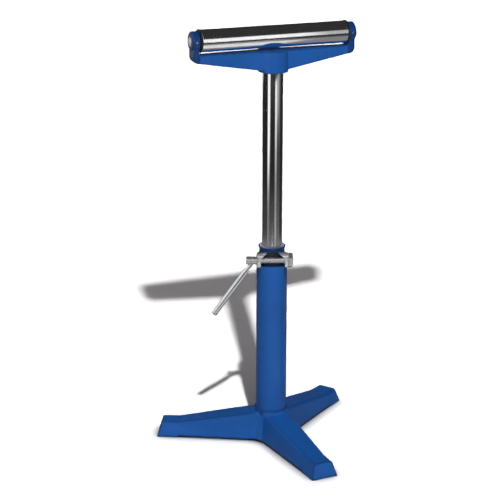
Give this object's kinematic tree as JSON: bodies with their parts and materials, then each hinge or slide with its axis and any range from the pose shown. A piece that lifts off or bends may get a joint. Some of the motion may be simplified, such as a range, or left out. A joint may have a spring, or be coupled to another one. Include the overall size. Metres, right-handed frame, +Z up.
{
  "type": "roller stand",
  "caption": "Height-adjustable work support: cast tripod base, column with lever clamp, sliding chromed post and a swivelling yoke carrying a free-running steel roller.",
  "frame": {"origin": "middle of the overall footprint, on the floor", "axes": "+Z up along the column, -X along one leg, the clamp bolt in front towards -Y"},
  "size_m": [0.4398, 0.4832, 0.9549],
  "materials": {
    "blue_paint": "gloss blue enamel over cast and drawn metal",
    "chrome": "bright chrome plate on ground tube",
    "zinc": "bright zinc plate",
    "bright_steel": "turned bright steel",
    "black_oxide": "black oxide",
    "black_plastic": "moulded black plastic"
  },
  "bodies": {
    "base": {"base_casting": "blue_paint", "column_tube": "blue_paint", "column_plug": "black_plastic", "column_screw_1": "black_oxide", "column_screw_2": "black_oxide", "guide_sleeve": "blue_paint", "clamp_ring": "zinc", "clamp_bolt": "zinc", "brake_shoe": "black_plastic"},
    "lever": {"lever_nut": "zinc", "lever_rod": "zinc"},
    "slider": {"foot_bush": "black_plastic"},
    "mast": {"post_tube": "chrome", "foot_clip_1": "black_oxide", "foot_clip_2": "black_oxide", "yoke_casting": "blue_paint", "yoke_screw": "black_oxide", "axle": "bright_steel", "bearing_inner_left": "bright_steel", "bearing_inner_right": "bright_steel", "axle_spacer_left": "bright_steel", "axle_spacer_right": "bright_steel", "axle_grub_left": "zinc", "axle_grub_right": "zinc"},
    "roller": {"roller_tube": "chrome", "bearing_outer_left": "bright_steel", "bearing_outer_right": "bright_steel", "roller_cap_left": "black_plastic", "roller_cap_right": "black_plastic"},
    "cage_left": {"ball_cage_left": "bright_steel"},
    "cage_right": {"ball_cage_right": "bright_steel"}
  },
  "joints": [
    {"name": "height_slide", "type": "slide", "parent": "base", "child": "slider", "axis": [0, 0, 1], "range_m": [-0.357, 0.0104]},
    {"name": "head_swivel", "type": "hinge", "parent": "slider", "child": "mast", "pos_m": [0.04105, 0, 0.65], "axis": [0, 0, 1], "continuous": true},
    {"name": "roller_spin", "type": "hinge", "parent": "mast", "child": "roller", "pos_m": [0.04105, 0, 0.92965], "axis": [0.9092, 0.4163, 0], "continuous": true},
    {"name": "cage_left_spin", "type": "hinge", "parent": "mast", "child": "cage_left", "pos_m": [0.04105, 0, 0.92965], "axis": [0.9092, 0.4163, 0], "continuous": true},
    {"name": "cage_right_spin", "type": "hinge", "parent": "mast", "child": "cage_right", "pos_m": [0.04105, 0, 0.92965], "axis": [0.9092, 0.4163, 0], "continuous": true},
    {"name": "lever_turn", "type": "hinge", "parent": "base", "child": "lever", "pos_m": [0.04455, -0.03332, 0.4338], "axis": [-0.9945, -0.1045, 0], "range_deg": [-15, 105]}
  ],
  "couplings": [
    {"joint": "cage_left_spin", "follows": "roller_spin", "ratio": 0.6},
    {"joint": "cage_right_spin", "follows": "roller_spin", "ratio": 0.6}
  ]
}
